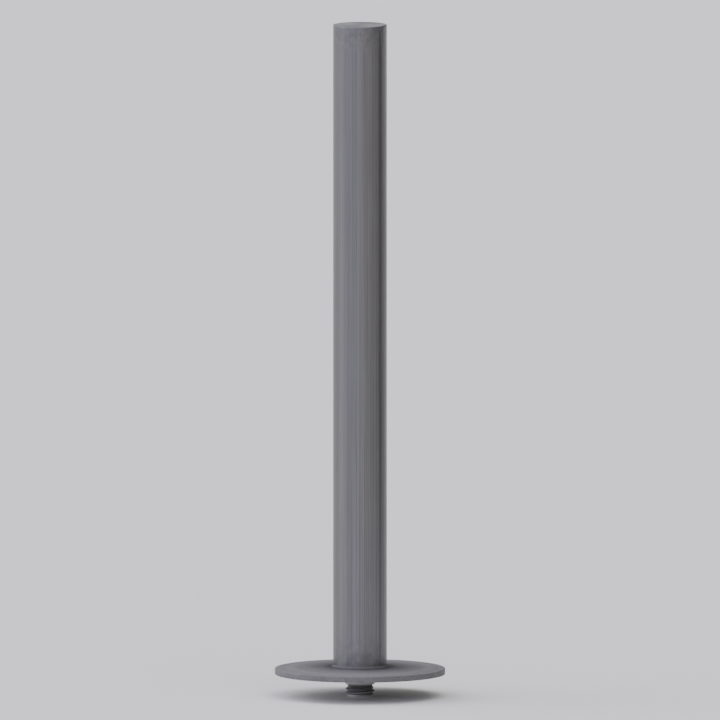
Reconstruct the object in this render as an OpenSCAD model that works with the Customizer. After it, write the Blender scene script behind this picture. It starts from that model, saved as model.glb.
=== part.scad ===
// Stanchion base: a closed post on a round flange, screwed into the deck by a stud.
// Z is up. The origin is the centre of the flange's underside, on the axis of the post.

/* [Post] */
// Outside diameter of the tube (1 inch rail tube)
tube_od = 25.4; // [20:0.1:40]
// Wall thickness of the tube
tube_wall = 2.0; // [1.5:0.1:3]
// Height of the closed post above the flange (12 inches)
post_h = 304.8; // [100:0.1:700]

/* [Top cap] */
// Thickness of the cap above the end of the tube
cap_t = 3.0; // [2.5:0.1:6]
// Length of the spigot inside the tube
cap_spigot_l = 7.0; // [4:0.5:15]
// Radius of the rounded top edge
cap_edge_r = 0.5; // [0.3:0.1:1]
// Leg of the flush weld between cap and tube
cap_weld_leg = 0.9; // [0.5:0.1:1.2]

/* [Flange] */
// Diameter of the flange
flange_d = 80.5; // [70:0.5:120]
// Thickness of the flange under the post
flange_t = 3.5; // [3:0.1:8]
// Height at which the crowned top meets the rounded edge of the rim
rim_t = 2.8; // [2:0.1:6]
// Radius of the rounded upper edge of the rim
rim_edge_r = 1.0; // [0.5:0.1:1.5]
// Small chamfer on the lower edge of the rim
rim_chamfer = 0.3; // [0.1:0.1:0.6]
// Leg of the fillet weld at the foot of the post
foot_weld_leg = 1.2; // [1:0.1:3]
// Depth by which the fillet weld bites into the bevelled end of the tube
foot_weld_bite = 0.8; // [0.4:0.1:1.2]

/* [Deck seal] */
// Radius of the centre line of the seal
seal_r = 18.5; // [15:0.5:30]
// Cord diameter of the rubber ring
seal_cord = 1.9; // [1.6:0.1:2.4]
// Depth of the groove, which is also the squeezed height of the ring
seal_depth = 1.3; // [1:0.1:1.6]
// Width of the groove
seal_groove_w = 2.2; // [2:0.1:3]

/* [Foot plug] */
// Height of the plug above the flange
plug_h = 26; // [20:0.5:40]
// Radius of the spigot that passes through the flange
plug_spigot_r = 9.5; // [9:0.1:10]
// Leg of the weld between plug and flange
plug_weld_leg = 0.8; // [0.5:0.1:1]

/* [Stud] */
// Nominal diameter of the stud's thread
thread_d = 14; // [12:1:16]
// Pitch of the thread
thread_pitch = 2; // [1.5:0.25:2]
// Length of the plain neck under the flange
neck_l = 4.7; // [3:0.1:8]
// Length of the stud below the flange
stud_l = 10.8; // [10:0.1:40]
// Width of the undercut beside the neck
undercut_w = 1.0; // [0.8:0.1:2]
// Chamfer on the lower end of the stud
stud_chamfer = 2.0; // [1:0.1:2.5]
// Top of the upper thread, measured from the underside of the flange
upper_thread_top = 12; // [8:0.5:16]
// Top of the plain pilot at the upper end of the stud
pilot_top = 19; // [16:0.5:22]

/* [Lock pin] */
// Diameter of the slotted spring pin
pin_d = 4; // [3:0.5:5]
// Length of the pin
pin_l = 20; // [18:0.5:21]
// Wall thickness of the pin
pin_wall = 0.8; // [0.6:0.1:1]
// Width of the slot along the pin
pin_slot = 0.7; // [0.4:0.1:1]
// Height of the pin above the underside of the flange
pin_z = 15.5; // [14:0.5:17]

/* [Hidden] */
$fn = 96;

tube_r = tube_od / 2;
tube_bore_r = tube_r - tube_wall;
seat_z = flange_t;
cap_z = seat_z + post_h - cap_t;
top_z = seat_z + post_h;
// Play between turned parts that slide into each other
fit_play = 0.05;
// Chamfer on the edges of turned parts
lead_in = 0.6;

flange_r = flange_d / 2;
// Flat land on which tube and plug stand
land_r = tube_r + foot_weld_leg + 0.3;
// Arc of the crown, from the edge of the land to the start of the rounded rim.
// Its centre stands a little inside the land, so the arc leaves the land at a slight angle.
rim_start_r = flange_r - rim_edge_r;
crown_x = land_r - 0.7;
crown_near = land_r - crown_x;
crown_far = rim_start_r - crown_x;
crown_z = (flange_t * flange_t + crown_near * crown_near
           - rim_t * rim_t - crown_far * crown_far) / (2 * (flange_t - rim_t));
crown_r = sqrt(pow(flange_t - crown_z, 2) + crown_near * crown_near);
// Rounding of the rim, tangent to the crown and to the rim's face
edge_z = crown_z + sqrt(pow(crown_r - rim_edge_r, 2) - crown_far * crown_far);
edge_touch_r = crown_x + crown_far * crown_r / (crown_r - rim_edge_r);

thread_r = thread_d / 2;
thread_root_r = thread_r - 0.54127 * thread_pitch;
// Radius of the undercuts, just below the root of the thread
undercut_r = thread_root_r - 0.1;
pilot_r = thread_root_r - 0.15;
// Play between the stud's thread and the tapped hole
thread_play = 0.06;
// Axial positions of crest and root within one pitch
thread_steps = [0, thread_pitch / 8, thread_pitch * 7 / 16, thread_pitch * 11 / 16];
// Facets round one turn of the thread
thread_n = 36;
// Overlap used where two bodies of one piece meet
lap = 0.3;
eps = 0.01;

steel = [0.62, 0.62, 0.64];
turned = [0.68, 0.68, 0.70];
weld = [0.55, 0.54, 0.53];
rubber = [0.08, 0.08, 0.08];

// Screw body with flat crests and roots, cut square at both ends.
// play widens it evenly, for the tapped hole.
module thread_body(z_low, z_high, play) {
    z_start = z_low - 2 * thread_pitch;
    turns = ceil((z_high - z_low) / thread_pitch) + 3;
    rows = 4 * turns;
    radii = [thread_r + play, thread_r + play, thread_root_r + play, thread_root_r + play];
    first = [for (j = [0 : rows + 4]) thread_point(0, j, z_start, radii)];
    rest = [for (i = [1 : thread_n - 1]) for (j = [0 : rows]) thread_point(i, j, z_start, radii)];
    foot = [0, 0, z_start + thread_pitch / 2];
    head = foot + [0, 0, turns * thread_pitch];
    points = concat(first, rest, [foot, head]);
    foot_i = len(points) - 2;
    head_i = len(points) - 1;
    faces = concat(
        [for (i = [0 : thread_n - 1]) for (j = [0 : rows - 1])
            [at(i, j, rows), at(i, j + 1, rows), at(i + 1, j + 1, rows)]],
        [for (i = [0 : thread_n - 1]) for (j = [0 : rows - 1])
            [at(i, j, rows), at(i + 1, j + 1, rows), at(i + 1, j, rows)]],
        [for (i = [0 : thread_n - 1]) [foot_i, at(i, 0, rows), at(i + 1, 0, rows)]],
        [for (j = [0 : 3]) [foot_i, j + 1, j]],
        [for (i = [0 : thread_n - 1]) [head_i, at(i + 1, rows, rows), at(i, rows, rows)]],
        [for (j = [rows : rows + 3]) [head_i, j, j + 1]]
    );
    reach = thread_r + 2;
    intersection() {
        polyhedron(points = points, faces = faces, convexity = 10);
        translate([-reach, -reach, z_low])
            cube([2 * reach, 2 * reach, z_high - z_low]);
    }
}

// Point of the thread's surface: column i round the axis, row j along it
function thread_point(i, j, z_start, radii) =
    let (turn = 360 * i / thread_n,
         z = z_start + thread_pitch * (i / thread_n + floor(j / 4)) + thread_steps[j % 4],
         r = radii[j % 4])
    [r * cos(turn), r * sin(turn), z];

// Number of the point in column i and row j; the last column is the first, one pitch up
function at(i, j, rows) =
    i == 0 ? j : i == thread_n ? j + 4 : rows + 5 + (i - 1) * (rows + 1) + j;

// Tube with both ends bevelled for welding
module post_tube() {
    color(steel)
    rotate_extrude()
        polygon([
            [tube_bore_r, seat_z],
            [tube_r - foot_weld_bite, seat_z],
            [tube_r, seat_z + foot_weld_leg],
            [tube_r, cap_z - cap_weld_leg],
            [tube_r - cap_weld_leg, cap_z],
            [tube_bore_r, cap_z]
        ]);
}

// Turned cap: a head on the end of the tube and a hollowed spigot inside it
module top_cap() {
    spigot_r = tube_bore_r - fit_play;
    spigot_z = cap_z - cap_spigot_l;
    hollow_r = spigot_r - 2.5;
    color(turned)
    rotate_extrude() {
        polygon([
            [0, cap_z],
            [hollow_r, cap_z],
            [hollow_r, spigot_z],
            [spigot_r - lead_in, spigot_z],
            [spigot_r, spigot_z + lead_in],
            [spigot_r, cap_z],
            [tube_r - cap_weld_leg, cap_z],
            [tube_r, cap_z + cap_weld_leg],
            [tube_r, top_z - cap_edge_r],
            [tube_r - cap_edge_r, top_z - cap_edge_r],
            [tube_r - cap_edge_r, top_z],
            [0, top_z]
        ]);
        translate([tube_r - cap_edge_r, top_z - cap_edge_r])
            circle(r = cap_edge_r);
    }
}

// Seam between cap and tube, ground flush with both
module cap_weld() {
    color(weld)
    rotate_extrude()
        polygon([
            [tube_r - cap_weld_leg, cap_z],
            [tube_r, cap_z - cap_weld_leg],
            [tube_r, cap_z + cap_weld_leg]
        ]);
}

// Crowned plate with a flat land in the middle, a bore and a seal groove
module base_flange() {
    bore_r = plug_spigot_r + fit_play;
    color(turned)
    rotate_extrude()
    difference() {
        union() {
            intersection() {
                translate([crown_x, crown_z])
                    circle(r = crown_r, $fn = 720);
                translate([bore_r, rim_t / 2])
                    square([edge_touch_r - bore_r, flange_t - rim_t / 2]);
            }
            polygon([
                [bore_r + plug_weld_leg, 0],
                [flange_r - rim_chamfer, 0],
                [flange_r, rim_chamfer],
                [flange_r, edge_z],
                [bore_r, edge_z],
                [bore_r, plug_weld_leg]
            ]);
            translate([rim_start_r, edge_z])
                circle(r = rim_edge_r);
        }
        translate([seal_r - seal_groove_w / 2, -1])
            square([seal_groove_w, seal_depth + 1]);
    }
}

// Dressed fillet at the foot of the post, slightly hollow
module foot_weld() {
    toe = 0.25;
    hollow = foot_weld_leg + toe;
    color(weld)
    rotate_extrude()
    difference() {
        polygon([
            [tube_r - foot_weld_bite, seat_z],
            [tube_r + foot_weld_leg, seat_z],
            [tube_r, seat_z + foot_weld_leg]
        ]);
        translate([tube_r + hollow, seat_z + hollow])
            circle(r = sqrt(hollow * hollow + toe * toe));
    }
}

// Plug inside the foot of the tube, tapped for the stud and cross-drilled for the pin
module foot_plug() {
    plug_r = tube_bore_r - fit_play;
    color(turned)
    difference() {
        rotate_extrude()
            polygon([
                [0, 0],
                [plug_spigot_r - plug_weld_leg, 0],
                [plug_spigot_r, plug_weld_leg],
                [plug_spigot_r, seat_z],
                [plug_r, seat_z],
                [plug_r, seat_z + plug_h - lead_in],
                [plug_r - lead_in, seat_z + plug_h],
                [0, seat_z + plug_h]
            ]);
        thread_body(-1, upper_thread_top + 1, thread_play);
        cylinder(r = pilot_r + fit_play, h = pilot_top);
        translate([0, 0, -eps])
            cylinder(r1 = thread_r + 0.5, r2 = thread_root_r, h = 1.5);
        translate([0, 0, pin_z])
            rotate([0, 90, 0])
                cylinder(d = pin_d, h = 2 * tube_od, center = true);
    }
}

// Weld that joins plug and flange from below, ground flat
module plug_weld() {
    color(weld)
    rotate_extrude()
        polygon([
            [plug_spigot_r - plug_weld_leg, 0],
            [plug_spigot_r + fit_play + plug_weld_leg, 0],
            [plug_spigot_r + fit_play, plug_weld_leg],
            [plug_spigot_r, plug_weld_leg]
        ]);
}

// Stud: thread with a chamfered end, plain neck, upper thread and a plain pilot
module mounting_stud() {
    lower_top = -neck_l - undercut_w;
    color(steel)
    difference() {
        union() {
            // Lower thread with its chamfered end
            intersection() {
                thread_body(-stud_l, lower_top + lap, 0);
                translate([0, 0, -stud_l - eps])
                    cylinder(r1 = thread_r - stud_chamfer - eps, r2 = thread_r - stud_chamfer + stud_l,
                             h = stud_l);
            }
            // Undercut and neck
            translate([0, 0, lower_top])
                cylinder(r = undercut_r, h = undercut_w + lap);
            translate([0, 0, -neck_l])
                cylinder(r = thread_r, h = neck_l);
            // Undercut above the neck, upper thread and pilot
            translate([0, 0, -lap])
                cylinder(r = undercut_r, h = undercut_w + 2 * lap);
            thread_body(undercut_w, upper_thread_top, 0);
            translate([0, 0, upper_thread_top - lap])
                cylinder(r = pilot_r, h = pilot_top - upper_thread_top + lap - lead_in);
            translate([0, 0, pilot_top - lead_in])
                cylinder(r1 = pilot_r, r2 = pilot_r - lead_in, h = lead_in);
        }
        translate([0, 0, pin_z])
            rotate([0, 90, 0])
                cylinder(d = pin_d, h = tube_od, center = true);
    }
}

// Slotted spring pin across plug and stud
module stud_lock_pin() {
    pin_r = pin_d / 2 - 0.01;
    chamfer = 0.4;
    color(steel)
    translate([0, 0, pin_z])
        rotate([0, 90, 0])
            difference() {
                rotate_extrude()
                    polygon([
                        [pin_r - pin_wall, -pin_l / 2],
                        [pin_r - chamfer, -pin_l / 2],
                        [pin_r, -pin_l / 2 + chamfer],
                        [pin_r, pin_l / 2 - chamfer],
                        [pin_r - chamfer, pin_l / 2],
                        [pin_r - pin_wall, pin_l / 2]
                    ]);
                translate([-pin_r - 1, -pin_slot / 2, -pin_l])
                    cube([pin_r + 1, pin_slot, 2 * pin_l]);
            }
}

// Rubber ring in the groove, squeezed flat against the deck
module deck_seal() {
    color(rubber)
    rotate_extrude()
    intersection() {
        translate([seal_r, seal_depth / 2])
            circle(d = seal_cord);
        translate([seal_r - seal_cord, 0])
            square([2 * seal_cord, seal_depth]);
    }
}

post_tube();
top_cap();
cap_weld();
base_flange();
foot_weld();
foot_plug();
plug_weld();
mounting_stud();
stud_lock_pin();
deck_seal();
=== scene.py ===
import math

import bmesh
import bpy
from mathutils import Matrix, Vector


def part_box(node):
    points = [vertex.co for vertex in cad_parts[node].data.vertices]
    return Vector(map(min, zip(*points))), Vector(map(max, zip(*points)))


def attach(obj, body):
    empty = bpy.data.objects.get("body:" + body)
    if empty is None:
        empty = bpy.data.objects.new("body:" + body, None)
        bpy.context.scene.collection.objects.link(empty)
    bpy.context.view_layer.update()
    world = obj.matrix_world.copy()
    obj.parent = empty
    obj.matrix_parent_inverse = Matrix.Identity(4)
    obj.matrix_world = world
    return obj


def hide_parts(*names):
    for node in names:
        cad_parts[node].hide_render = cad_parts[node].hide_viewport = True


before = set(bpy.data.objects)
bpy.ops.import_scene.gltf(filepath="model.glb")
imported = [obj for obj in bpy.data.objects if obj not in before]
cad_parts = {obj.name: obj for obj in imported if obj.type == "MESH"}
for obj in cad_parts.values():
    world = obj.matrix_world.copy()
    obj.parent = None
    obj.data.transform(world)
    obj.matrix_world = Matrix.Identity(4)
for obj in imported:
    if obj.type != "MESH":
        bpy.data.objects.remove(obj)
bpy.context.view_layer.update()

# Looks of the stanchion base. Every turned piece is a lathed mesh with broken edges, the stud has
# a true helical thread, and the foot weld has its ripples. Sizes start from the CAD boxes, and
# the tones of paint and light were fitted to the photo by mean levels.

MM = 0.001

# ---- Sizes -----------------------------------------------------------------------------------

# Play between pieces that sit in one another
FIT_GAP = 0.05 * MM

POST_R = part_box("post_tube")[1].x
BORE_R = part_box("foot_plug")[1].x + FIT_GAP
SEAT_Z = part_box("post_tube")[0].z
TUBE_TOP_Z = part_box("post_tube")[1].z
WELD_TOP_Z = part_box("foot_weld")[1].z
WELD_TOE_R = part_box("foot_weld")[1].x
CAP_TOP_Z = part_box("top_cap")[1].z
CAP_LOW_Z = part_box("top_cap")[0].z
SEAM_LOW_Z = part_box("cap_weld")[0].z
SEAM_TOP_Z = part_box("cap_weld")[1].z
FLANGE_R = -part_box("base_flange")[0].x
FLANGE_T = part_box("base_flange")[1].z
STUD_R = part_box("mounting_stud")[1].x
STUD_LOW_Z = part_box("mounting_stud")[0].z
STUD_TOP_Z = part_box("mounting_stud")[1].z
SEAL_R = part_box("deck_seal")[1].x
SEAL_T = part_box("deck_seal")[1].z
PLUG_WELD_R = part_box("plug_weld")[1].x
PLUG_WELD_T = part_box("plug_weld")[1].z

TUBE_BEVEL = 0.8 * MM
CAP_EDGE = 0.5 * MM
CAP_WALL = 2.5 * MM
SPIGOT_EDGE = 0.6 * MM
RIM_EDGE = 1.0 * MM
RIM_LOW_EDGE = 0.3 * MM
RIM_T = 2.8 * MM

# How far the flat ring round the weld goes, and how late the flange's top falls away from it
LAND_W = 0.3 * MM
CROWN_POWER = 1.8

FLANGE_BORE_R = PLUG_WELD_R - PLUG_WELD_T
SEAL_CORD = 1.9 * MM
SEAL_MID_R = SEAL_R - SEAL_CORD / 2
GROOVE_W = 2.2 * MM

# Fillet of the foot weld: hollow of its face, and number and height of its ripples
WELD_HOLLOW = 0.16 * MM
WELD_RIPPLES = 58
WELD_RIPPLE_H = 0.05 * MM

# Thread of the stud: a metric profile, with its parts as shares of the pitch
PITCH = 2.0 * MM
THREAD_DEPTH = 0.54127 * PITCH
CREST, FLANK, ROOT = 1 / 8, 5 / 16, 1 / 4
ROOT_WIDENING = 1.02
THREAD_RELIEF = 0.1 * MM
UPPER_THREAD_TOP = 12.0 * MM

NECK_L = 4.7 * MM
NECK_EDGE = 0.2 * MM
UNDERCUT = 1.0 * MM
LOWER_THREAD_TOP = -NECK_L - UNDERCUT
STUD_CHAMFER = 2.0 * MM
PILOT_EDGE = 0.6 * MM
CENTRE_HOLE_R, CENTRE_HOLE_DEEP = 1.2 * MM, 1.0 * MM

# Direction of the painted dark reflection line down the tube, in radians from the front towards +X
REFLECTION_LINE_ANGLE = 0.834

# Edge break on turned corners
BREAK = 0.12 * MM

# Vertices round the axis, for plain pieces, for the rippled weld and for the thread
ROUND_STEPS = 256
WELD_STEPS = 720
STUD_STEPS = 144

# A smaller radius than this counts as a point on the axis
ON_AXIS = 1e-7


# ---- Mesh tools ------------------------------------------------------------------------------

def rounded(corners, radii=None, default=BREAK, steps=4):
    """Closed outline whose corners are arcs. radii gives the size at chosen corner numbers.

    A point is added a little before and after each arc, which keeps the flat faces shaded flat.
    """
    longest_share = 0.45
    support = 1.1
    radii = radii or {}
    outline = []
    count = len(corners)
    for i, corner in enumerate(corners):
        here = Vector(corner)
        back = Vector(corners[i - 1]) - here
        ahead = Vector(corners[(i + 1) % count]) - here
        radius = radii.get(i, default)
        if radius <= 0 or here.x <= 0:
            outline.append(here)
            continue
        half = back.angle(ahead) / 2
        reach = min(radius / math.tan(half), longest_share * back.length,
                    longest_share * ahead.length)
        start = here + back.normalized() * reach
        end = here + ahead.normalized() * reach
        outline.append(here + back.normalized() * reach * support)
        for k in range(steps + 1):
            t = k / steps
            outline.append(start.lerp(here, t).lerp(here.lerp(end, t), t))
        outline.append(here + ahead.normalized() * reach * support)
    return outline


def finish_mesh(name, bm, sharp_degrees):
    """Turns a bmesh into a shaded object in the scene, with edges sharper than an angle kept."""
    bmesh.ops.recalc_face_normals(bm, faces=bm.faces)
    mesh = bpy.data.meshes.new(name)
    bm.to_mesh(mesh)
    bm.free()
    mesh.shade_smooth()
    mesh.set_sharp_from_angle(angle=math.radians(sharp_degrees))
    piece = bpy.data.objects.new(name, mesh)
    bpy.context.scene.collection.objects.link(piece)
    return piece


def lathe(name, outline, steps=ROUND_STEPS, shift=None, sharp_degrees=40):
    """Turns a closed outline of (radius, height) points round Z.

    shift(k, angle) may move outline point k by a (radius, height) offset, for welds and wear.
    """
    bm = bmesh.new()
    rings = []
    for k, (radius, height) in enumerate(outline):
        if radius < ON_AXIS:
            rings.append([bm.verts.new((0, 0, height))] * steps)
            continue
        ring = []
        for i in range(steps):
            angle = 2 * math.pi * i / steps
            dr, dz = shift(k, angle) if shift else (0, 0)
            r = radius + dr
            ring.append(bm.verts.new((r * math.cos(angle), r * math.sin(angle), height + dz)))
        rings.append(ring)
    for k in range(len(rings)):
        low, high = rings[k], rings[(k + 1) % len(rings)]
        for i in range(steps):
            j = (i + 1) % steps
            corners = []
            for vert in (low[i], low[j], high[j], high[i]):
                if vert not in corners:
                    corners.append(vert)
            if len(corners) > 2:
                bm.faces.new(corners)
    return finish_mesh(name, bm, sharp_degrees)


# ---- Pieces ----------------------------------------------------------------------------------

def build_tube():
    """Tube, bevelled at both ends for its welds."""
    corners = [
        (BORE_R, SEAT_Z),
        (POST_R - TUBE_BEVEL, SEAT_Z),
        (POST_R, WELD_TOP_Z),
        (POST_R, SEAM_LOW_Z),
        (POST_R - (TUBE_TOP_Z - SEAM_LOW_Z), TUBE_TOP_Z),
        (BORE_R, TUBE_TOP_Z),
    ]
    return lathe("tube_wall", rounded(corners, default=0), sharp_degrees=15)


def build_cap():
    """Cap with its edge broken, and a hollow spigot in the tube."""
    spigot_r = BORE_R - FIT_GAP
    seam_r = POST_R - (SEAM_TOP_Z - TUBE_TOP_Z)
    corners = [
        (0, CAP_TOP_Z),
        (0, TUBE_TOP_Z),
        (spigot_r - CAP_WALL, TUBE_TOP_Z),
        (spigot_r - CAP_WALL, CAP_LOW_Z),
        (spigot_r, CAP_LOW_Z),
        (spigot_r, TUBE_TOP_Z),
        (seam_r, TUBE_TOP_Z),
        (POST_R, SEAM_TOP_Z),
        (POST_R, CAP_TOP_Z),
    ]
    radii = {4: SPIGOT_EDGE, 6: 0, 7: 0, 8: CAP_EDGE}
    return lathe("cap_body", rounded(corners, radii, steps=8))


def build_cap_seam():
    """Weld ground flush with tube and cap."""
    corners = [
        (POST_R - (SEAM_TOP_Z - TUBE_TOP_Z), TUBE_TOP_Z),
        (POST_R, SEAM_LOW_Z),
        (POST_R, SEAM_TOP_Z),
    ]
    return lathe("cap_seam", rounded(corners, default=0), sharp_degrees=15)


def crown_height(radius, land_r, rim_start):
    """Height of the flange's crowned top at a radius."""
    share = max(0.0, radius - land_r) / (rim_start - land_r)
    return FLANGE_T - (FLANGE_T - RIM_T) * share ** CROWN_POWER


def build_flange():
    """Flange with its crowned top, rounded rim and seal groove.

    The rim's arc is a hair smaller than its corner, so that its ends don't meet the crown's.
    """
    land_r = WELD_TOE_R + LAND_W
    rim_start = FLANGE_R - RIM_EDGE
    groove_in = SEAL_MID_R - GROOVE_W / 2
    groove_out = SEAL_MID_R + GROOVE_W / 2
    outline = rounded([
        (FLANGE_BORE_R, FLANGE_T),
        (FLANGE_BORE_R, PLUG_WELD_T),
        (PLUG_WELD_R, 0),
        (groove_in, 0),
        (groove_in, SEAL_T),
        (groove_out, SEAL_T),
        (groove_out, 0),
        (FLANGE_R, 0),
        (FLANGE_R, RIM_T),
        (rim_start, RIM_T),
    ], {0: 0, 1: 0, 2: 0, 7: RIM_LOW_EDGE, 8: RIM_EDGE * 0.999, 9: 0}, steps=6)
    crown_steps = 24
    for k in range(1, crown_steps + 1):
        radius = rim_start + (land_r - rim_start) * k / crown_steps
        outline.append(Vector((radius, crown_height(radius, land_r, rim_start))))
    return lathe("flange_plate", outline)


def build_foot_weld():
    """Fillet bead: a slightly hollow face with the weld pool's ripples dressed almost flat."""
    root_r = POST_R - TUBE_BEVEL
    face_steps = 10
    face = []
    for k in range(face_steps + 1):
        t = k / face_steps
        flat = Vector((WELD_TOE_R, SEAT_Z)).lerp(Vector((POST_R, WELD_TOP_Z)), t)
        hollow = WELD_HOLLOW * math.sin(math.pi * t)
        face.append(flat - Vector((hollow, hollow)))
    outline = [Vector((root_r, SEAT_Z))] + face

    def ripple(k, angle):
        """Uneven waves along the bead, none at its root and toes."""
        if k in (0, 1, len(outline) - 1):
            return 0, 0
        t = (k - 1) / face_steps
        swing = math.sin(math.pi * t)
        phase = WELD_RIPPLES * angle + 1.6 * swing + 0.5 * math.sin(5 * angle)
        lift = WELD_RIPPLE_H * swing * (math.sin(phase) - 0.4 * math.cos(2 * phase))
        return lift, lift

    return lathe("foot_bead", outline, steps=WELD_STEPS, shift=ripple, sharp_degrees=60)


def build_plug_weld():
    """Bead under the flange, ground flat with the underside."""
    inner_r = FLANGE_BORE_R - FIT_GAP
    corners = [
        (inner_r - PLUG_WELD_T, 0),
        (PLUG_WELD_R, 0),
        (FLANGE_BORE_R, PLUG_WELD_T),
        (inner_r, PLUG_WELD_T),
    ]
    return lathe("plug_bead", rounded(corners, default=0))


def build_seal():
    """Rubber ring pressed flat at the groove's floor and at the deck."""
    half = SEAL_CORD / 2
    middle = SEAL_T / 2
    flat = math.asin(middle / half)
    outline = []
    arc_steps = 12
    for side in (1, -1):
        for k in range(arc_steps + 1):
            angle = side * flat * (2 * k / arc_steps - 1)
            outline.append(Vector((SEAL_MID_R + side * half * math.cos(angle),
                                   middle + half * math.sin(angle))))
    return lathe("seal_ring", outline)


def thread_radius(height, angle):
    """Radius of the thread at a height and angle: flat crests, and flat roots a hair wider than
    the profile's."""
    phase = (height / PITCH - angle / (2 * math.pi)) % 1
    if phase < CREST:
        share = 0
    elif phase < CREST + FLANK:
        share = (phase - CREST) / FLANK
    elif phase < CREST + FLANK + ROOT:
        share = 1
    else:
        share = 1 - (phase - CREST - FLANK - ROOT) / FLANK
    return STUD_R - THREAD_DEPTH * min(1, share * ROOT_WIDENING)


def stud_radius(height, angle):
    """Radius of the whole stud, from the chamfered end up to the pilot."""
    root_r = STUD_R - THREAD_DEPTH - THREAD_RELIEF
    if height < LOWER_THREAD_TOP:
        end_cone = STUD_R - STUD_CHAMFER + (height - STUD_LOW_Z)
        top_cone = root_r + (LOWER_THREAD_TOP - height)
        return min(thread_radius(height, angle), end_cone, max(root_r, top_cone))
    if height < -NECK_L:
        return root_r
    if height <= 0:
        from_edge = min(height + NECK_L, -height)
        return STUD_R - max(0, NECK_EDGE - from_edge)
    if height < UNDERCUT:
        return root_r
    if height < UPPER_THREAD_TOP:
        return min(thread_radius(height, angle), root_r + (height - UNDERCUT))
    pilot_r = root_r - FIT_GAP
    return min(pilot_r, pilot_r - PILOT_EDGE + (STUD_TOP_Z - height))


def stud_heights():
    """Heights of the mesh rows: fine over threads, doubled where the radius steps."""
    step = PITCH / 28
    sliver = 0.002 * MM
    lower_l = LOWER_THREAD_TOP - STUD_LOW_Z
    rows = round(lower_l / step)
    heights = [STUD_LOW_Z + lower_l * k / rows for k in range(rows)]
    heights += [LOWER_THREAD_TOP, -NECK_L - sliver]
    heights += [-NECK_L, -NECK_L + NECK_EDGE / 2, -NECK_L + NECK_EDGE]
    heights += [-NECK_EDGE, -NECK_EDGE / 2, 0, sliver, UNDERCUT]
    upper_l = UPPER_THREAD_TOP - UNDERCUT
    rows = round(upper_l / (2 * step))
    heights += [UNDERCUT + upper_l * k / rows for k in range(1, rows)]
    heights += [UPPER_THREAD_TOP, STUD_TOP_Z - PILOT_EDGE, STUD_TOP_Z]
    return heights


def build_stud():
    """Stud with its helical thread and a small centre hole from the lathe in its lower end."""
    bm = bmesh.new()
    tip = bm.verts.new((0, 0, STUD_LOW_Z + CENTRE_HOLE_DEEP))
    rings = [[tip] * STUD_STEPS]
    rings.append(ring_of(bm, STUD_STEPS, lambda angle: CENTRE_HOLE_R, STUD_LOW_Z))
    for height in stud_heights():
        rings.append(ring_of(bm, STUD_STEPS, lambda angle, h=height: stud_radius(h, angle),
                             height))
    rings.append([bm.verts.new((0, 0, STUD_TOP_Z))] * STUD_STEPS)
    for low, high in zip(rings, rings[1:]):
        for i in range(STUD_STEPS):
            j = (i + 1) % STUD_STEPS
            corners = list(dict.fromkeys((low[i], low[j], high[j], high[i])))
            bm.faces.new(corners)
    return finish_mesh("stud_body", bm, 50)


def ring_of(bm, steps, radius_at, height):
    """One ring of vertices whose radius depends on the angle."""
    ring = []
    for i in range(steps):
        angle = 2 * math.pi * i / steps
        r = radius_at(angle)
        ring.append(bm.verts.new((r * math.cos(angle), r * math.sin(angle), height)))
    return ring


# ---- Materials -------------------------------------------------------------------------------

# Places of the colour sockets on the Mix node
MIX_A, MIX_B, MIX_OUT = 6, 7, 2

# Colours, all linear. Pairs run from the dark to the light end of a pattern.
TUBE_TONES = (0.130, 0.130, 0.132), (0.190, 0.190, 0.191)
TUBE_CLOUD = (0.156, 0.154, 0.155)
# Tube colour for the patches that darken it towards its foot
TUBE_FOOT_DARK = (0.10, 0.10, 0.105)
FLANGE_TONES = (0.218, 0.216, 0.216), (0.301, 0.299, 0.299)
FLANGE_WORN = (0.245, 0.242, 0.244)
# Heat tint and painted shade round the post's foot
HEAT_TINT_AND_SHADE = (0.075, 0.074, 0.078)
# Painted shade for the flange's rim
RIM_SHADE = (0.075, 0.075, 0.075)
# The cap's top face, painted lighter than its side as painted light
CAP_TOP_LIT_TONES = (0.31, 0.308, 0.312), (0.41, 0.408, 0.412)
CAP_TOP_LIT_WORN = (0.348, 0.345, 0.345)
CAP_SIDE_TONES = (0.140, 0.139, 0.147), (0.178, 0.177, 0.186)
WELD_TONES = (0.102, 0.101, 0.104), (0.142, 0.140, 0.143)
WELD_TINT = (0.132, 0.126, 0.118)
THREAD_TONES = (0.18, 0.178, 0.175), (0.44, 0.438, 0.435)
# Painted light for the stud's lower end and neck
STUD_END_PAINTED_LIGHT = (0.60, 0.596, 0.585)
STUD_NECK_PAINTED_LIGHT = (0.63, 0.63, 0.61)
RUBBER_TONES = (0.012, 0.012, 0.013), (0.03, 0.03, 0.031)
# Dark colour for the painted reflection line on the tube and the painted shade at the weld's toe
PAINTED_DARK_LINE = (0.05, 0.05, 0.05)
FLOOR_TONES = (0.785, 0.795, 0.750), (0.805, 0.815, 0.770)
CARD_TONES = (0.85, 0.83, 0.76), (0.20, 0.195, 0.178)

# Depth of the finest grain on machined and polished faces
GRAIN_DEPTH = 0.012 * MM

# The weld's heat tint, with painted shade round the post's foot: how far it goes from the toe and
# how strong it starts, for the main fade and for the little that is added close to the toe
TINT_AND_SHADE_REACH, TINT_AND_SHADE_SHARE = 18 * MM, 0.80
NEAR_START, NEAR_REACH, NEAR_SHARE = 0.5 * MM, 4.5 * MM, 0.12

# Painted shade round the flange's rim: where it starts and is full, from the edge, and its strength
RIM_SHADE_START, RIM_SHADE_FULL, RIM_SHADE_SHARE = 0.35 * MM, 0.1 * MM, 0.22

# Painted shade in the crease along the foot weld's toe: where it starts to fade and has gone
TOE_SHADE_START, TOE_SHADE_END = 0.1 * MM, 0.45 * MM

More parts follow.
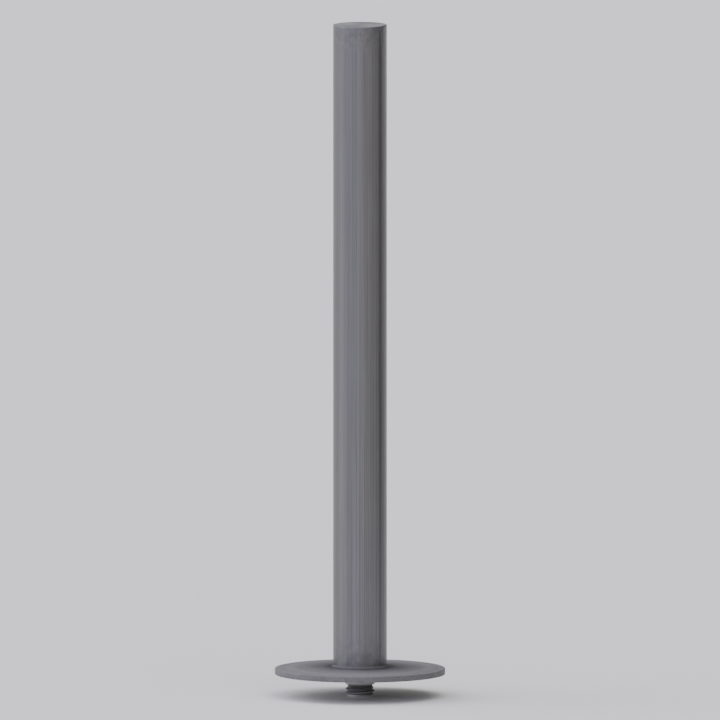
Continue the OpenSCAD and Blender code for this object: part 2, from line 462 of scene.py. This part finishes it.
# Hand-blended ends of the post: where they start and are full, from the top and from the foot
TOP_BLEND_START, TOP_BLEND_FULL = 13 * MM, 7 * MM
FOOT_BLEND_START, FOOT_BLEND_FULL = 16 * MM, 6 * MM

# Painted light on the stud's lower end: where it starts to darken into the thread, and has done so
LIT_END_START, LIT_END_END = 1.0 * MM, 1.4 * MM

# Half width of the painted reflection line in radians, and where it has faded out
REFLECTION_LINE_CORE, REFLECTION_LINE_FADE = 0.015, 0.06


class Paint:
    """A material's node tree, with short calls for the nodes used here."""

    def __init__(self, name):
        self.material = bpy.data.materials.new(name)
        self.material.use_nodes = True
        self.tree = self.material.node_tree
        self.shader = self.tree.nodes["Principled BSDF"]

    def node(self, kind, **settings):
        """A new node of a kind, with its settings."""
        made = self.tree.nodes.new("ShaderNode" + kind)
        for key, value in settings.items():
            setattr(made, key, value)
        return made

    def link(self, source, target):
        """Joins an output to an input."""
        self.tree.links.new(source, target)

    def position(self, scale=(1, 1, 1)):
        """Object position stretched by a scale on each axis."""
        where = self.node("TexCoord").outputs["Object"]
        mapping = self.node("Mapping")
        mapping.inputs["Scale"].default_value = scale
        self.link(where, mapping.inputs["Vector"])
        return mapping.outputs["Vector"]

    def noise(self, where, scale, detail, rough):
        """Noise from 0 to 1, with its scale in cycles per metre."""
        made = self.node("TexNoise")
        made.inputs["Scale"].default_value = scale
        made.inputs["Detail"].default_value = detail
        made.inputs["Roughness"].default_value = rough
        self.link(where, made.inputs["Vector"])
        return made.outputs["Fac"]

    def math(self, operation, a, b=None):
        """A sum on one or two values; each may be a number or a socket."""
        made = self.node("Math", operation=operation)
        for socket, value in zip(made.inputs, (a, b)):
            if value is None:
                continue
            if isinstance(value, (int, float)):
                socket.default_value = value
            else:
                self.link(value, socket)
        return made.outputs[0]

    def ramp(self, value, low, high, out_low, out_high):
        """Maps a value from one range to another, held at the ends."""
        made = self.node("MapRange")
        for socket, number in zip(("From Min", "From Max", "To Min", "To Max"),
                                  (low, high, out_low, out_high)):
            made.inputs[socket].default_value = number
        self.link(value, made.inputs["Value"])
        return made.outputs["Result"]

    def mix(self, share, low, high):
        """Colour between low and high; either may be a colour or a socket."""
        made = self.node("Mix", data_type="RGBA")
        self.link(share, made.inputs["Factor"])
        for socket, value in ((made.inputs[MIX_A], low), (made.inputs[MIX_B], high)):
            if isinstance(value, tuple):
                socket.default_value = (*value, 1)
            else:
                self.link(value, socket)
        return made.outputs[MIX_OUT]

    def bump(self, height, distance, strength=1.0):
        """Tips the shading by a height pattern, over the geometry's own shape."""
        made = self.node("Bump")
        made.inputs["Distance"].default_value = distance
        made.inputs["Strength"].default_value = strength
        self.link(height, made.inputs["Height"])
        self.link(made.outputs["Normal"], self.shader.inputs["Normal"])

    def radius(self):
        """Distance from the Z axis."""
        split = self.node("SeparateXYZ")
        self.link(self.node("TexCoord").outputs["Object"], split.inputs[0])
        squares = [self.math("POWER", split.outputs[k], 2) for k in (0, 1)]
        return self.math("SQRT", self.math("ADD", *squares))

    def height(self):
        """Height above the flange's underside."""
        split = self.node("SeparateXYZ")
        self.link(self.node("TexCoord").outputs["Object"], split.inputs[0])
        return split.outputs[2]

    def angle(self):
        """Angle round the Z axis in radians, from the front (-Y) towards +X."""
        split = self.node("SeparateXYZ")
        self.link(self.node("TexCoord").outputs["Object"], split.inputs[0])
        return self.math("ARCTAN2", split.outputs[0],
                         self.math("MULTIPLY", split.outputs[1], -1.0))

    def as_metal(self, anisotropy, rotation):
        """Bare metal; anisotropy stretches its highlights, turned about the Z axis."""
        self.shader.inputs["Metallic"].default_value = 1.0
        self.shader.inputs["Anisotropic"].default_value = anisotropy
        self.shader.inputs["Anisotropic Rotation"].default_value = rotation
        tangent = self.node("Tangent", direction_type="RADIAL", axis="Z")
        self.link(tangent.outputs[0], self.shader.inputs["Tangent"])


def satin_tube():
    """Belt-polished tube: grain and streaks along the post, cloudy hand-blended ends, patches that
    darken towards the foot, and a thin painted dark reflection line down its length."""
    paint = Paint("satin_tube")
    fine = paint.noise(paint.position((1, 1, 0.012)), scale=2600, detail=3, rough=0.6)
    streak = paint.noise(paint.position((1, 1, 0.002)), scale=1150, detail=2, rough=0.5)
    cloud = paint.noise(paint.position((1, 1, 0.35)), scale=38, detail=3, rough=0.55)
    blend = paint.noise(paint.position((1, 1, 0.8)), scale=330, detail=3, rough=0.6)
    height = paint.height()
    near_top = paint.ramp(height, CAP_TOP_Z - TOP_BLEND_START, CAP_TOP_Z - TOP_BLEND_FULL, 0, 1)
    near_foot = paint.ramp(height, SEAT_Z + FOOT_BLEND_FULL, SEAT_Z + FOOT_BLEND_START, 1, 0)
    ends = paint.math("MAXIMUM", near_top, near_foot)
    tone = paint.math("ADD", paint.math("MULTIPLY", streak, 0.7),
                      paint.math("MULTIPLY", fine, 0.3))
    tone = paint.mix(ends, tone, paint.math("ADD", paint.math("MULTIPLY", tone, 0.4),
                                            paint.math("MULTIPLY", blend, 0.6)))
    colour = paint.mix(paint.ramp(tone, 0.38, 0.62, 0, 1), *TUBE_TONES)
    colour = paint.mix(paint.ramp(cloud, 0.35, 0.7, 0, 0.4), colour, TUBE_CLOUD)
    # Patches that make the tube darker towards its foot.
    foot_dark = paint.noise(paint.position((1, 1, 0.45)), scale=210, detail=3, rough=0.6)
    foot_dark = paint.math("MULTIPLY", near_foot, paint.ramp(foot_dark, 0.42, 0.66, 0.0, 0.26))
    colour = paint.mix(foot_dark, colour, TUBE_FOOT_DARK)
    # A painted dark reflection line down the tube, at a fixed angle round it.
    reflection_line = paint.ramp(paint.math("ABSOLUTE", paint.math("SUBTRACT", paint.angle(), REFLECTION_LINE_ANGLE)),
                      REFLECTION_LINE_CORE, REFLECTION_LINE_FADE, 0.35, 0)
    colour = paint.mix(reflection_line, colour, PAINTED_DARK_LINE)
    paint.link(colour, paint.shader.inputs["Base Color"])
    rough = paint.math("ADD", paint.ramp(cloud, 0.3, 0.7, 0.33, 0.40),
                       paint.ramp(fine, 0.3, 0.7, -0.02, 0.03))
    paint.link(rough, paint.shader.inputs["Roughness"])
    paint.bump(fine, GRAIN_DEPTH, 0.5)
    paint.as_metal(0.35, 0.0)
    return paint.material


def turned_look(paint, dark, light, worn):
    """Fine rings about the axis broken up by faint handling marks: the colour, and the patterns of
    the rings and of the clouds."""
    across = paint.node("CombineXYZ")
    paint.link(paint.radius(), across.inputs[0])
    paint.link(paint.height(), across.inputs[2])
    rings = paint.noise(across.outputs[0], scale=2300, detail=3, rough=0.6)
    bands = paint.noise(across.outputs[0], scale=260, detail=1, rough=0.5)
    cloud = paint.noise(paint.position(), scale=60, detail=4, rough=0.6)
    mottle = paint.noise(paint.position(), scale=620, detail=3, rough=0.65)
    tone = paint.math("ADD", paint.math("MULTIPLY", rings, 0.25),
                      paint.math("MULTIPLY", bands, 0.25))
    tone = paint.math("ADD", tone, paint.math("MULTIPLY", mottle, 0.5))
    colour = paint.mix(paint.ramp(tone, 0.38, 0.62, 0, 1), dark, light)
    return paint.mix(paint.ramp(cloud, 0.4, 0.75, 0, 0.5), colour, worn), rings, cloud


def turned_steel():
    """Flange and plug: dull, faintly ringed, with the weld's heat tint and painted shade round its
    toe, and painted shade darkening the rim slightly."""
    paint = Paint("turned_steel")
    colour, rings, cloud = turned_look(paint, *FLANGE_TONES, FLANGE_WORN)
    # Heat tint round the weld's toe, with painted shade round the post's foot.
    main = paint.ramp(paint.radius(), WELD_TOE_R, WELD_TOE_R + TINT_AND_SHADE_REACH, TINT_AND_SHADE_SHARE, 0)
    near = paint.ramp(paint.radius(), WELD_TOE_R + NEAR_START, WELD_TOE_R + NEAR_REACH,
                      NEAR_SHARE, 0)
    halo = paint.math("ADD", main, near)
    ragged = paint.noise(paint.position(), scale=130, detail=3, rough=0.6)
    halo = paint.math("MULTIPLY", halo, paint.ramp(ragged, 0.3, 0.7, 0.82, 1.18))
    colour = paint.mix(halo, colour, HEAT_TINT_AND_SHADE)
    # Painted shade on the flange's rim.
    rim = paint.ramp(paint.radius(), FLANGE_R - RIM_SHADE_START, FLANGE_R - RIM_SHADE_FULL,
                     0, RIM_SHADE_SHARE)
    colour = paint.mix(rim, colour, RIM_SHADE)
    paint.link(colour, paint.shader.inputs["Base Color"])
    rough = paint.math("ADD", paint.ramp(cloud, 0.3, 0.7, 0.75, 0.85),
                       paint.ramp(rings, 0.3, 0.7, -0.02, 0.03))
    paint.link(rough, paint.shader.inputs["Roughness"])
    paint.bump(rings, GRAIN_DEPTH, 0.5)
    paint.as_metal(0.0, 0.0)
    return paint.material


def cap_steel():
    """Cap: turned on its top face, polished with the tube round its side. Painted light makes the
    top face lighter than the side.
    """
    paint = Paint("cap_steel")
    # The top face is painted lighter than the side, as painted light.
    face, rings, cloud = turned_look(paint, *CAP_TOP_LIT_TONES, CAP_TOP_LIT_WORN)
    blend = paint.noise(paint.position((1, 1, 0.8)), scale=330, detail=3, rough=0.6)
    side = paint.mix(paint.ramp(blend, 0.36, 0.64, 0, 1), *CAP_SIDE_TONES)
    round_side = paint.ramp(paint.radius(), POST_R - CAP_EDGE, POST_R - 0.1 * MM, 0, 1)
    paint.link(paint.mix(round_side, face, side), paint.shader.inputs["Base Color"])
    rough = paint.math("SUBTRACT", paint.ramp(cloud, 0.3, 0.7, 0.58, 0.68),
                       paint.math("MULTIPLY", round_side, 0.26))
    paint.link(rough, paint.shader.inputs["Roughness"])
    paint.bump(rings, GRAIN_DEPTH, 0.5)
    paint.as_metal(0.3, 0.0)
    return paint.material


def weld_metal():
    """Dressed weld: duller than the tube, mottled, with a dark line of painted shade along its toe.
    """
    paint = Paint("weld_metal")
    mottle = paint.noise(paint.position(), scale=700, detail=4, rough=0.6)
    tint = paint.noise(paint.position(), scale=120, detail=2, rough=0.5)
    colour = paint.mix(paint.ramp(mottle, 0.35, 0.7, 0, 1), *WELD_TONES)
    colour = paint.mix(paint.ramp(tint, 0.5, 0.8, 0, 0.35), colour, WELD_TINT)
    # Painted shade along the weld's toe.
    toe = paint.ramp(paint.height(), SEAT_Z + TOE_SHADE_START, SEAT_Z + TOE_SHADE_END, 0.5, 0)
    colour = paint.mix(toe, colour, PAINTED_DARK_LINE)
    paint.link(colour, paint.shader.inputs["Base Color"])
    paint.link(paint.ramp(mottle, 0.3, 0.7, 0.62, 0.74), paint.shader.inputs["Roughness"])
    paint.bump(mottle, 0.02 * MM, 0.6)
    paint.as_metal(0.0, 0.0)
    return paint.material


def thread_steel():
    """Stud and pin: lighter on crests and darker in the roots, with painted light on the neck and
    lower end.
    """
    paint = Paint("thread_steel")
    radius = paint.radius()
    grain = paint.noise(paint.position((0.2, 0.2, 1)), scale=5200, detail=2, rough=0.6)
    # Patches that vary how dark the roots are.
    root_mottle = paint.noise(paint.position(), scale=420, detail=3, rough=0.6)
    depth = paint.ramp(radius, STUD_R - THREAD_DEPTH, STUD_R - 0.15 * THREAD_DEPTH, 0, 1)
    depth = paint.math("MULTIPLY", depth, paint.ramp(root_mottle, 0.3, 0.7, 0.5, 1.0))
    height = paint.height()
    # Painted light on the stud's neck and on its lower end.
    neck = paint.ramp(height, -NECK_L - NECK_EDGE, -NECK_L, 0, 1)
    end = paint.ramp(height, STUD_LOW_Z + LIT_END_START, STUD_LOW_Z + LIT_END_END, 1, 0)
    colour = paint.mix(depth, *THREAD_TONES)
    colour = paint.mix(end, colour, STUD_END_PAINTED_LIGHT)
    colour = paint.mix(neck, colour, STUD_NECK_PAINTED_LIGHT)
    paint.link(colour, paint.shader.inputs["Base Color"])
    rough = paint.math("ADD", paint.ramp(depth, 0, 1, 0.6, 0.52),
                       paint.ramp(grain, 0.3, 0.7, -0.02, 0.04))
    paint.link(rough, paint.shader.inputs["Roughness"])
    paint.bump(grain, 0.01 * MM, 0.5)
    paint.as_metal(0.3, 0.25)
    return paint.material


def seal_rubber():
    """Matt black rubber with a fine bloom."""
    paint = Paint("seal_rubber")
    bloom = paint.noise(paint.position(), scale=900, detail=3, rough=0.6)
    colour = paint.mix(paint.ramp(bloom, 0.35, 0.75, 0, 1), *RUBBER_TONES)
    paint.link(colour, paint.shader.inputs["Base Color"])
    paint.link(paint.ramp(bloom, 0.3, 0.7, 0.55, 0.75), paint.shader.inputs["Roughness"])
    paint.bump(bloom, 0.03 * MM, 0.5)
    return paint.material


def pale_floor():
    """Plain pale studio floor."""
    paint = Paint("pale_floor")
    drift = paint.noise(paint.position(), scale=1.2, detail=2, rough=0.5)
    colour = paint.mix(paint.ramp(drift, 0.3, 0.7, 0, 1), *FLOOR_TONES)
    paint.link(colour, paint.shader.inputs["Base Color"])
    paint.shader.inputs["Roughness"].default_value = 0.85
    paint.shader.inputs["Specular IOR Level"].default_value = 0.2
    return paint.material


# ---- Assembly --------------------------------------------------------------------------------

def put(piece, node, material):
    """Gives a piece its material, and lets it stand for a CAD node on the body."""
    piece.data.materials.clear()
    piece.data.materials.append(material)
    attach(piece, "root")
    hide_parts(node)


def paint_cad(node, material):
    """Gives a CAD node that stays a procedural material."""
    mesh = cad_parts[node].data
    mesh.materials.clear()
    mesh.materials.append(material)


def build_part():
    """Every piece on its node, and paint on the two enclosed CAD nodes."""
    tube, cap, turned, weld = satin_tube(), cap_steel(), turned_steel(), weld_metal()
    thread, rubber = thread_steel(), seal_rubber()
    put(build_tube(), "post_tube", tube)
    put(build_cap(), "top_cap", cap)
    put(build_cap_seam(), "cap_weld", tube)
    put(build_flange(), "base_flange", turned)
    put(build_foot_weld(), "foot_weld", weld)
    put(build_plug_weld(), "plug_weld", weld)
    put(build_stud(), "mounting_stud", thread)
    put(build_seal(), "deck_seal", rubber)
    paint_cad("foot_plug", turned)
    paint_cad("stud_lock_pin", thread)


# ---- Studio ----------------------------------------------------------------------------------

# Radius in metres, and facets of its edge
FLOOR_R, FLOOR_SIDES = 14, 96

# Name, azimuth, elevation and spread in degrees, strength, colour of each light
LIGHTS = (
    ("key_front_left", -40, 25, 130, 3.0, (0.935, 0.888, 1.21)),
    ("key_left", -110, 25, 80, 2.0, (0.98, 0.97, 1.03)),
    ("top_right", 40, 68, 44, 1.05, (1, 1, 1)),
)
WORLD_COLOUR, WORLD_STRENGTH = (1.0, 1.0, 0.98), 0.32

# Grey card: distance and height in metres and number of facets, and in degrees round Z from the
# front its near edge, where its darkest part starts, and its far edge
CARD_REACH, CARD_TOP, CARD_STEPS = 0.5, 0.9, 12
CARD_NEAR, CARD_DARK, CARD_FAR = 14, 104, 118

# The photo's direction and scale. A parallel camera's distance has no effect on the picture.
CAMERA_ELEVATION = 6.1
CAMERA_DISTANCE = 2.0
CAMERA_AIM = (0, 0, 0.149)
CAMERA_SCALE = 0.33994


def build_floor():
    """Large round floor at the stud's lower end."""
    bm = bmesh.new()
    bmesh.ops.create_circle(bm, cap_ends=True, segments=FLOOR_SIDES, radius=FLOOR_R)
    mesh = bpy.data.meshes.new("floor")
    bm.to_mesh(mesh)
    bm.free()
    floor = bpy.data.objects.new("floor", mesh)
    floor.location.z = STUD_LOW_Z
    bpy.context.scene.collection.objects.link(floor)
    mesh.materials.append(pale_floor())


def soft_sun(name, azimuth, elevation, spread, strength, colour):
    """Wide soft light from far away. Azimuth is in degrees round Z from the camera's side,
    positive to the right; spread is the light's width seen from the object."""
    light = bpy.data.lights.new(name, "SUN")
    light.angle = math.radians(spread)
    light.energy = strength
    light.color = colour
    round_z, up = math.radians(azimuth), math.radians(elevation)
    towards = Vector((math.sin(round_z) * math.cos(up), -math.cos(round_z) * math.cos(up),
                      math.sin(up)))
    lamp = bpy.data.objects.new(name, light)
    lamp.rotation_euler = towards.to_track_quat("Z", "Y").to_euler()
    bpy.context.scene.collection.objects.link(lamp)


def build_card():
    """Grey card to the right of the object, seen only in reflections: it gives the post its
    darker side."""
    near, dark, far = (math.radians(turn) for turn in (CARD_NEAR, CARD_DARK, CARD_FAR))
    bm = bmesh.new()
    rows = []
    for k in range(CARD_STEPS + 1):
        turn = near + (far - near) * k / CARD_STEPS
        x, y = CARD_REACH * math.sin(turn), -CARD_REACH * math.cos(turn)
        rows.append((bm.verts.new((x, y, STUD_LOW_Z)), bm.verts.new((x, y, CARD_TOP))))
    for (a, b), (c, d) in zip(rows, rows[1:]):
        bm.faces.new((a, c, d, b))
    card = finish_mesh("card", bm, 30)
    paint = Paint("grey_card")
    shade = paint.ramp(paint.angle(), near, dark, 0, 1)
    paint.link(paint.mix(shade, *CARD_TONES), paint.shader.inputs["Base Color"])
    paint.shader.inputs["Roughness"].default_value = 0.9
    card.data.materials.append(paint.material)
    card.visible_camera = False
    card.visible_shadow = False
    card.visible_diffuse = False


def build_lights():
    """The soft suns, and an even pale world."""
    for light in LIGHTS:
        soft_sun(*light)
    world = bpy.data.worlds.new("studio")
    world.use_nodes = True
    back = world.node_tree.nodes["Background"]
    back.inputs["Color"].default_value = (*WORLD_COLOUR, 1)
    back.inputs["Strength"].default_value = WORLD_STRENGTH
    bpy.context.scene.world = world


def build_camera():
    """Parallel view, as through a very long lens, a few degrees above the horizon."""
    elevation = math.radians(CAMERA_ELEVATION)
    aim = Vector(CAMERA_AIM)
    towards = Vector((0, -math.cos(elevation), math.sin(elevation)))
    camera = bpy.data.cameras.new("camera")
    camera.type = "ORTHO"
    camera.ortho_scale = CAMERA_SCALE
    seat = bpy.data.objects.new("camera", camera)
    seat.location = aim + CAMERA_DISTANCE * towards
    seat.rotation_euler = (aim - seat.location).to_track_quat("-Z", "Y").to_euler()
    bpy.context.scene.collection.objects.link(seat)
    bpy.context.scene.camera = seat


build_part()
build_floor()
build_card()
build_lights()
build_camera()
